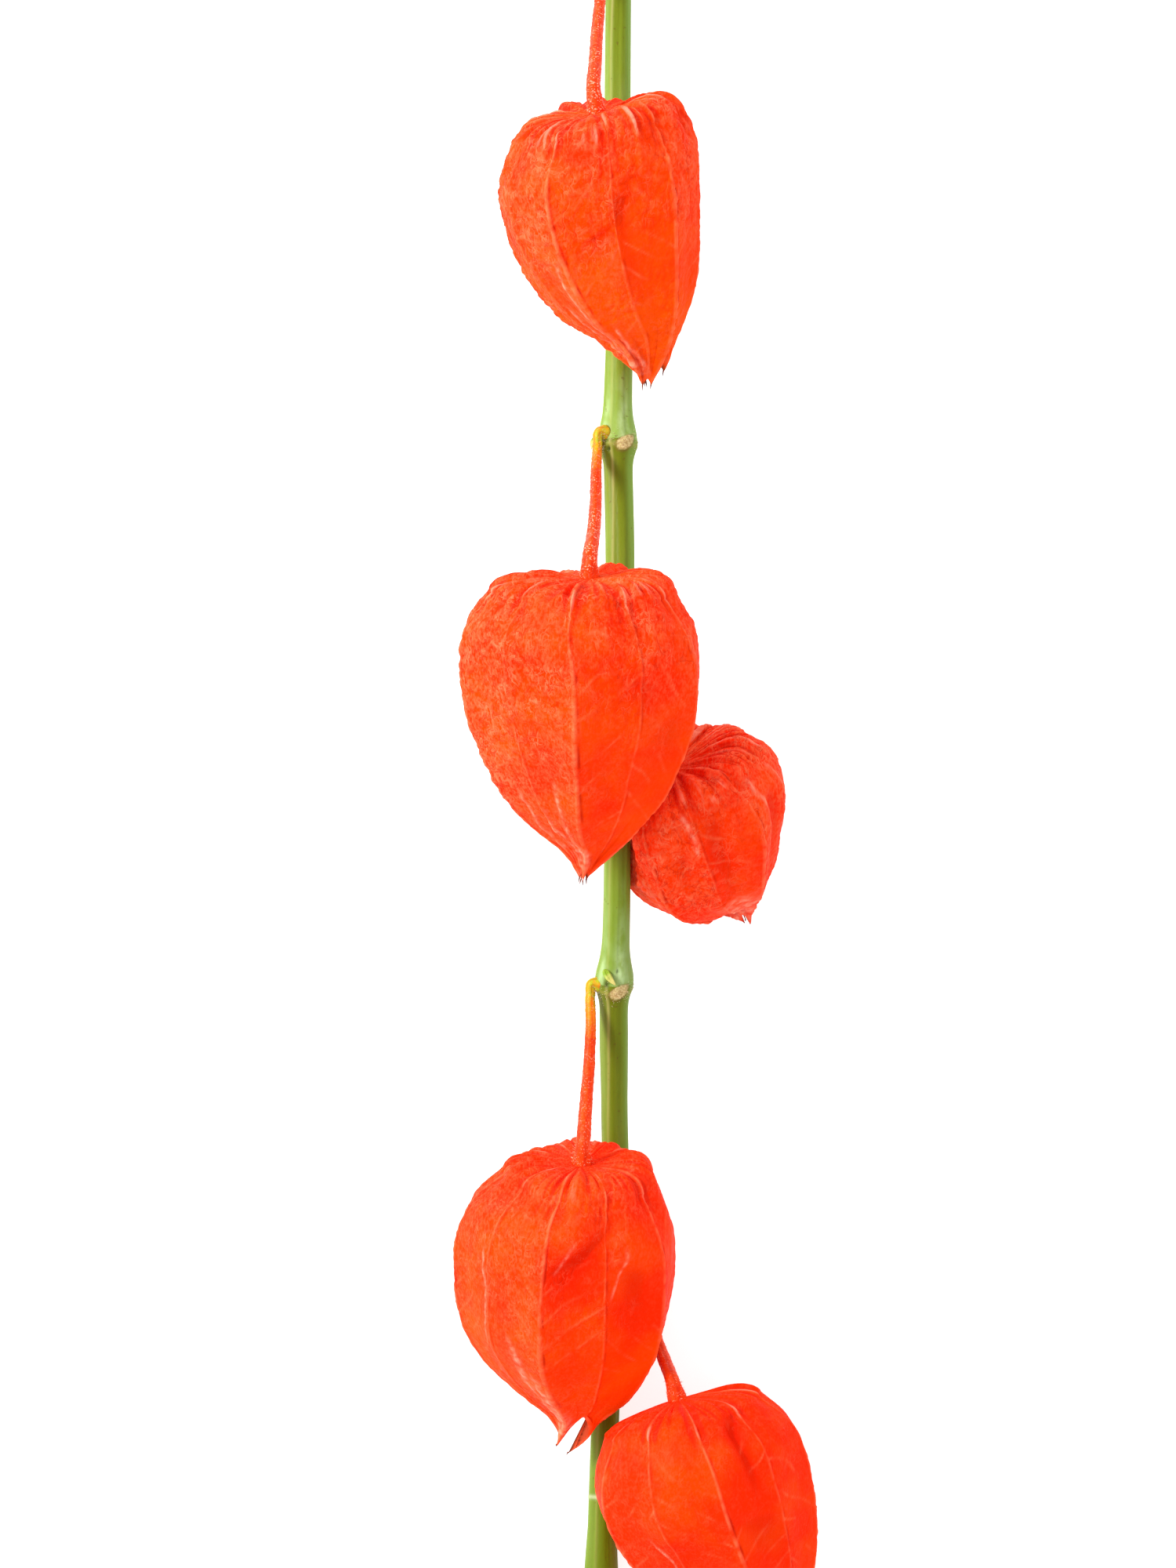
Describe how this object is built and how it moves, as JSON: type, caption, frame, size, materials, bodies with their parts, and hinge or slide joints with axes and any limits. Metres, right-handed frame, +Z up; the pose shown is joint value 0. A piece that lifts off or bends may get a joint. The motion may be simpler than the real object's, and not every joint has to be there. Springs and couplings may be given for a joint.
{
  "type": "physalis stem with lantern husks",
  "caption": "Cut stem of Chinese lantern plant (physalis) lying down, with papery orange-red husks hanging from it on thin stalks.",
  "frame": {"origin": "middle of the whole object's footprint, on the surface it lies on", "axes": "+Y along the stem towards its upper end, +Z up from the surface, +X to the right when seen from above with the upper end away from the viewer"},
  "size_m": [0.0729, 0.3899, 0.0633],
  "materials": {
    "green_stem": "smooth green plant stem, faintly ridged, satin",
    "red_stalk": "thin fleshy stalk, finely hairy, satin",
    "orange_husk": "thin veined papery husk, satin",
    "green_bud": "small hairy plant bud, matte"
  },
  "bodies": {
    "root": {"main_stem": "green_stem", "stalk_1": "red_stalk", "stalk_2": "red_stalk", "stalk_3": "red_stalk", "stalk_4": "red_stalk", "stalk_5": "red_stalk", "lantern_1": "orange_husk", "lantern_2": "orange_husk", "lantern_3": "orange_husk", "lantern_4": "orange_husk", "lantern_5": "orange_husk", "axil_bud_upper": "green_bud", "axil_bud_lower": "green_bud"}
  },
  "joints": []
}
